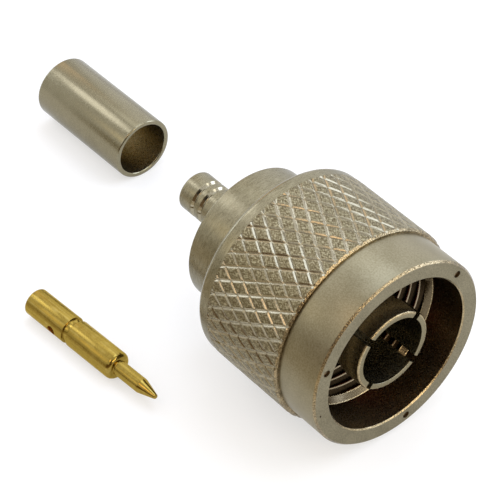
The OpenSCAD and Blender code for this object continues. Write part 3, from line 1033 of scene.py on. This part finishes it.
def floor():
    """A pale floor that keeps the shadow, and that the camera and the metal see as white."""
    half, glow_level = 1.5, 0.55
    mesh = bpy.data.meshes.new("floor")
    mesh.from_pydata(
        [(-half, -half, FLOOR_Z), (half, -half, FLOOR_Z), (half, half, FLOOR_Z), (-half, half, FLOOR_Z)],
        [], [(0, 1, 2, 3)],
    )
    piece = bpy.data.objects.new("floor", mesh)
    bpy.context.scene.collection.objects.link(piece)
    look = Look("white_floor", metallic=0.0)
    shade = look.noise(look.scaled(1, 1, 1), scale=0.02)
    look.colour(look.ramp(shade, (0.0, (0.43, 0.43, 0.43)), (1.0, (0.45, 0.45, 0.45))))
    look.shader.inputs["Roughness"].default_value = 0.9
    look.shader.inputs["Emission Color"].default_value = (1, 1, 1, 1)
    seen = seen_directly(look.nodes, look.links)
    glow = look.range(seen, low=0.0, high=glow_level, start=0.0, end=1.0)
    look.links.new(glow, look.shader.inputs["Emission Strength"])
    mesh.materials.append(look.material)


def world():
    """White to the camera and in reflections, and a softer white on matt surfaces."""
    studio = bpy.data.worlds.new("studio")
    bpy.context.scene.world = studio
    studio.use_nodes = True
    nodes, wires = studio.node_tree.nodes, studio.node_tree.links
    level = nodes.new("ShaderNodeMapRange")
    level.inputs["To Min"].default_value = 0.8
    level.inputs["To Max"].default_value = 1.0
    background = nodes["Background"]
    background.inputs["Color"].default_value = (1, 1, 1, 1)
    wires.new(seen_directly(nodes, wires), level.inputs["Value"])
    wires.new(level.outputs["Result"], background.inputs["Strength"])


def direction(azimuth, elevation):
    """From the plug outwards, with angles in degrees from the X axis and from the floor."""
    a, e = math.radians(azimuth), math.radians(elevation)
    return Vector((math.cos(e) * math.cos(a), math.cos(e) * math.sin(a), math.sin(e)))


LIT_AT = Vector((-18, 0, -4)) * MM


def lamp(name, azimuth, elevation, away, wide, tall, level, colour=(1, 1, 1)):
    """A soft lamp that looks at the plug from a direction. At level 1 it is as bright as the world."""
    data = bpy.data.lights.new(name, "AREA")
    data.shape = "RECTANGLE"
    data.size = wide * MM
    data.size_y = tall * MM
    data.energy = level * math.pi * data.size * data.size_y
    data.color = colour
    piece = bpy.data.objects.new(name, data)
    out = direction(azimuth, elevation)
    piece.location = LIT_AT + out * away * MM
    piece.rotation_euler = (-out).to_track_quat("-Z", "Y").to_euler()
    bpy.context.scene.collection.objects.link(piece)


CAMERA_AT = Vector((108.27, -105.94, 151.97)) * MM
CAMERA_TOWARDS = Vector((-0.5656, 0.4675, -0.6793))
FOCAL_PX = 2412
IMAGE_PX = 500


def camera():
    """The camera that was fitted to the outlines in the photograph."""
    data = bpy.data.cameras.new("camera")
    data.sensor_width = 36
    data.lens = FOCAL_PX / IMAGE_PX * data.sensor_width
    data.clip_start = 0.01
    piece = bpy.data.objects.new("camera", data)
    piece.location = CAMERA_AT
    piece.rotation_euler = CAMERA_TOWARDS.to_track_quat("-Z", "Y").to_euler()
    bpy.context.scene.collection.objects.link(piece)
    bpy.context.scene.camera = piece


CARD_AWAY = 340
CARD_LIFT = 0.05


def between(ends, share):
    """A value part of the way from one end to the other."""
    return ends[0] + (ends[1] - ends[0]) * share


def around(azimuths, elevations):
    """Places on a ball round the plug."""
    def place(across, up):
        out = direction(between(azimuths, across), between(elevations, up))
        return LIT_AT + out * CARD_AWAY * MM

    return place


def on_floor(azimuths, reaches):
    """Places on the floor round the plug, between two distances from it."""
    middle = Vector((LIT_AT.x, LIT_AT.y, FLOOR_Z + CARD_LIFT * MM))

    def place(across, up):
        return middle + direction(between(azimuths, across), 0) * between(reaches, up) * MM

    return place


def card(name, place, dark, light):
    """A card that only shows as the dark side of what metal reflects."""
    columns, rows = 16, 6
    points = [place(c / columns, r / rows) for r in range(rows + 1) for c in range(columns + 1)]
    faces = []
    for row in range(rows):
        for column in range(columns):
            a = row * (columns + 1) + column
            faces.append((a, a + 1, a + columns + 2, a + columns + 1))
    mesh = bpy.data.meshes.new(name)
    mesh.from_pydata(points, [], faces)
    piece = bpy.data.objects.new(name, mesh)
    piece.visible_camera = piece.visible_shadow = piece.visible_diffuse = False
    bpy.context.scene.collection.objects.link(piece)
    look = Look(name, metallic=0.0)
    shade = look.noise(look.scaled(1, 1, 1), scale=0.02)
    look.colour(look.ramp(shade, (0.3, dark), (0.7, light)))
    look.shader.inputs["Roughness"].default_value = 0.9
    mesh.materials.append(look.material)


floor()
world()

WARM = (1.0, 0.66, 0.36)

# Azimuth and elevation in degrees, then distance, width and height in millimetres, level and colour
lamp("overhead", 108, 73, 320, 150, 150, 2.1, (0.82, 0.97, 1.30))
lamp("side", -168, 17, 300, 120, 120, 2.1, (0.86, 0.97, 1.20))
lamp("front", -82, 56, 300, 90, 90, 2.4, WARM)
lamp("back", 118, 27, 380, 300, 340, 0.58, (0.93, 1.0, 1.22))
lamp("warm", 163, 27, 300, 110, 110, 0.8, WARM)
lamp("stripe", -163, 46, 347, 90, 90, 3.0, (0.96, 1.0, 1.15))
lamp("top", 150, 57, 340, 150, 100, 1.15, (0.95, 1.0, 1.1))
lamp("bevels", -4, 31, 300, 160, 60, 6.0, (1.0, 0.80, 0.55))
lamp("rim", 67, 22, 300, 120, 130, 4.8, (0.86, 1.0, 1.3))
lamp("glint", 32, 42, 300, 150, 110, 3.0)
lamp("patch", -124, 31, 300, 80, 80, 1.15, (1.08, 0.92, 0.62))

BROWN = ((0.22, 0.14, 0.07), (0.32, 0.21, 0.11))

# Where each card stands, and its darkest and lightest colour
card("dark_room", around((-106, -60), (-8, 24)), *BROWN)
card("dark_front", around((-60, -20), (-8, 33)), *BROWN)
card("dark_mouth", around((-20, -4), (-8, 24)), *BROWN)
# Painted shade: a darker sheet over the floor in front of the plug, seen only in the metal, for shade on
# the floor there.
card("dark_floor_painted_shade", on_floor((-142, -30), (30, 180)), (0.50, 0.44, 0.32), (0.58, 0.51, 0.38))
card("dark_low", around((-131, -106), (-8, 12)), (0.46, 0.40, 0.25), (0.54, 0.47, 0.30))
card("dark_lens", around((-60, -20), (33, 58)), (0.05, 0.04, 0.03), (0.07, 0.055, 0.04))

camera()
bpy.context.scene.view_settings.view_transform = "Standard"
